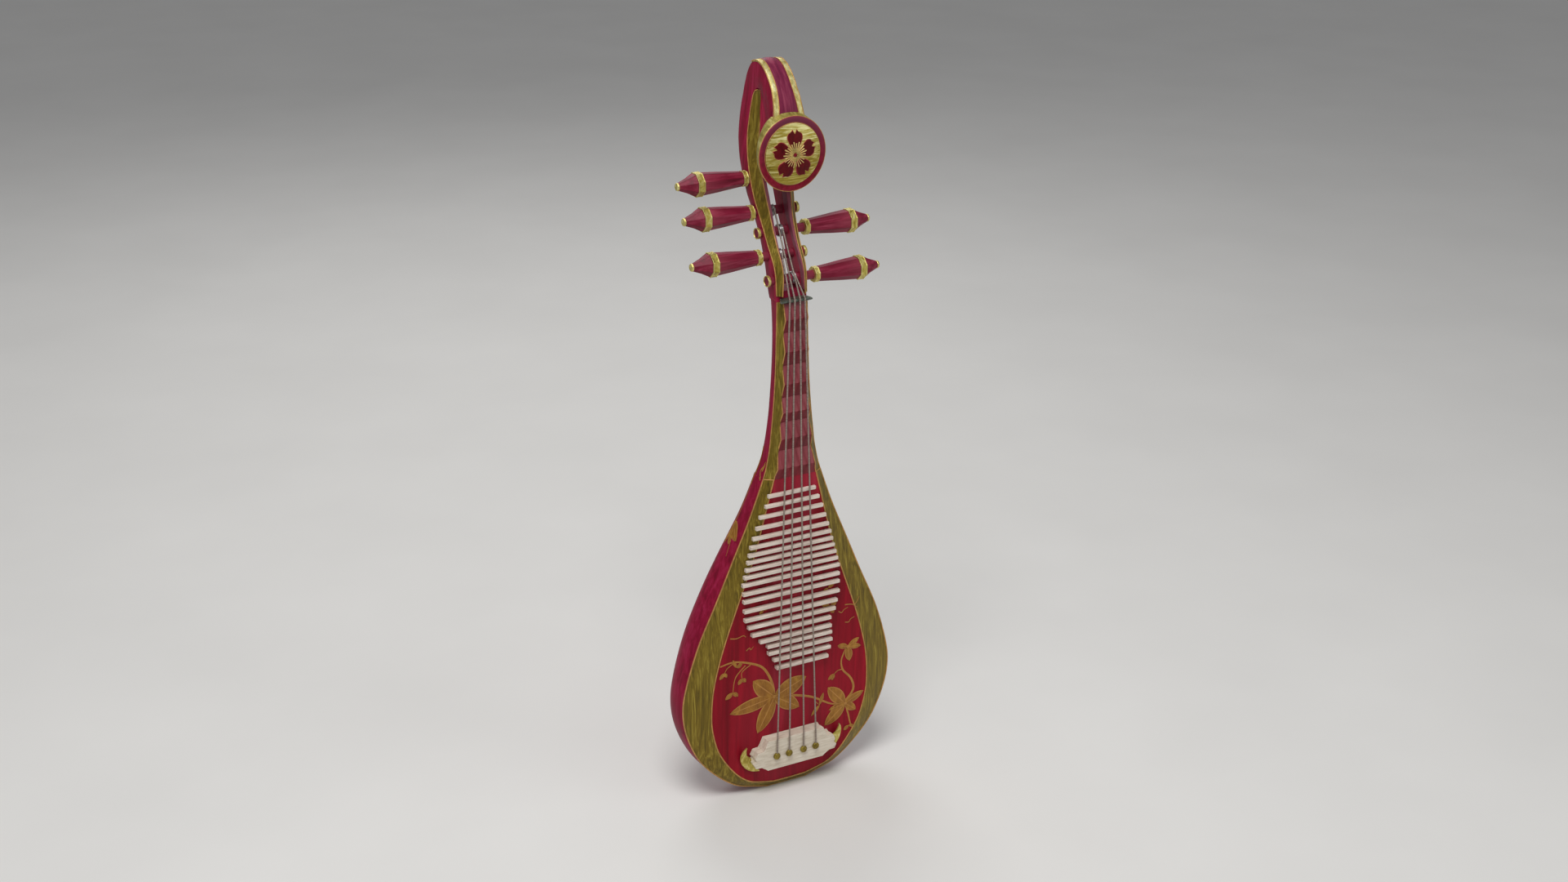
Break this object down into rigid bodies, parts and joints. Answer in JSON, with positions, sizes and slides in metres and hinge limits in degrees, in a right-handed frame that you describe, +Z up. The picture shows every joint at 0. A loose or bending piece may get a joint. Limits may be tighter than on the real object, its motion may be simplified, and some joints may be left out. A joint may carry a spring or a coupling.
{
  "type": "pipa lute",
  "caption": "Pear-shaped lute with a hollow back, painted soundboard, ridge frets on the neck, bamboo frets, turning tuning pegs and a curled head with a round plaque.",
  "frame": {"origin": "middle of the flat bottom end that the instrument rests on", "axes": "+Z up along the strings towards the head, -Y out of the soundboard towards the player's audience, +X to the right seen from the front"},
  "size_m": [0.3334, 0.1458, 1.009],
  "materials": {
    "red_lacquer": "glossy red lacquer over hardwood",
    "painted_board": "satin red lacquer with a painted vine",
    "gilt_wood": "satin gold leaf on wood, with fine streaks",
    "gilt_metal": "polished gold-coloured metal",
    "string_steel": "wound steel",
    "bamboo": "pale bamboo, satin",
    "bone_white": "polished bone",
    "dark_horn": "dark horn, satin",
    "ridge_wood": "rose-red lacquered wood",
    "bare_spruce": "bare straight-grained wood",
    "dark_red_inlay": "dark red lacquer"
  },
  "bodies": {
    "root": {"back_shell": "red_lacquer", "upper_beam": "bare_spruce", "lower_beam": "bare_spruce", "sound_posts": "bare_spruce", "soundboard": "painted_board", "border_left": "gilt_wood", "border_right": "gilt_wood", "neck": "red_lacquer", "neck_edge_left": "gilt_wood", "neck_edge_right": "gilt_wood", "ridge_fret_1": "ridge_wood", "ridge_fret_2": "ridge_wood", "ridge_fret_3": "ridge_wood", "ridge_fret_4": "ridge_wood", "ridge_fret_5": "ridge_wood", "ridge_fret_6": "ridge_wood", "bamboo_frets": "bamboo", "nut": "dark_horn", "pegbox_head": "red_lacquer", "cheek_facing_left": "gilt_wood", "cheek_facing_right": "gilt_wood", "cheek_lining_left": "red_lacquer", "cheek_lining_right": "red_lacquer", "head_disc": "gilt_wood", "disc_ring": "red_lacquer", "medallion": "gilt_wood", "blossom_petals": "dark_red_inlay", "blossom_centre": "gilt_wood", "bridge": "bone_white", "bridge_horn_left": "gilt_wood", "bridge_horn_right": "gilt_wood", "string_buttons": "gilt_metal", "string_1": "string_steel", "string_2": "string_steel", "string_3": "string_steel", "string_4": "string_steel"},
    "peg_spare_body": {"peg_spare": "red_lacquer", "peg_spare_bands": "gilt_metal"},
    "peg_1_body": {"peg_1": "red_lacquer", "peg_1_bands": "gilt_metal", "winding_1": "string_steel"},
    "peg_2_body": {"peg_2": "red_lacquer", "peg_2_bands": "gilt_metal", "winding_2": "string_steel"},
    "peg_3_body": {"peg_3": "red_lacquer", "peg_3_bands": "gilt_metal", "winding_3": "string_steel"},
    "peg_4_body": {"peg_4": "red_lacquer", "peg_4_bands": "gilt_metal", "winding_4": "string_steel"}
  },
  "joints": [
    {"name": "peg_spare_turn", "type": "hinge", "parent": "root", "child": "peg_spare_body", "pos_m": [0, 0.071, 0.8575], "axis": [1, 0, 0], "continuous": true},
    {"name": "peg_1_turn", "type": "hinge", "parent": "root", "child": "peg_1_body", "pos_m": [0, 0.026, 0.764], "axis": [1, 0, 0], "continuous": true},
    {"name": "peg_2_turn", "type": "hinge", "parent": "root", "child": "peg_2_body", "pos_m": [0, 0.054, 0.8158], "axis": [1, 0, 0], "continuous": true},
    {"name": "peg_3_turn", "type": "hinge", "parent": "root", "child": "peg_3_body", "pos_m": [0, 0.0415, 0.7912], "axis": [1, 0, 0], "continuous": true},
    {"name": "peg_4_turn", "type": "hinge", "parent": "root", "child": "peg_4_body", "pos_m": [0, 0.0125, 0.735], "axis": [1, 0, 0], "continuous": true}
  ]
}
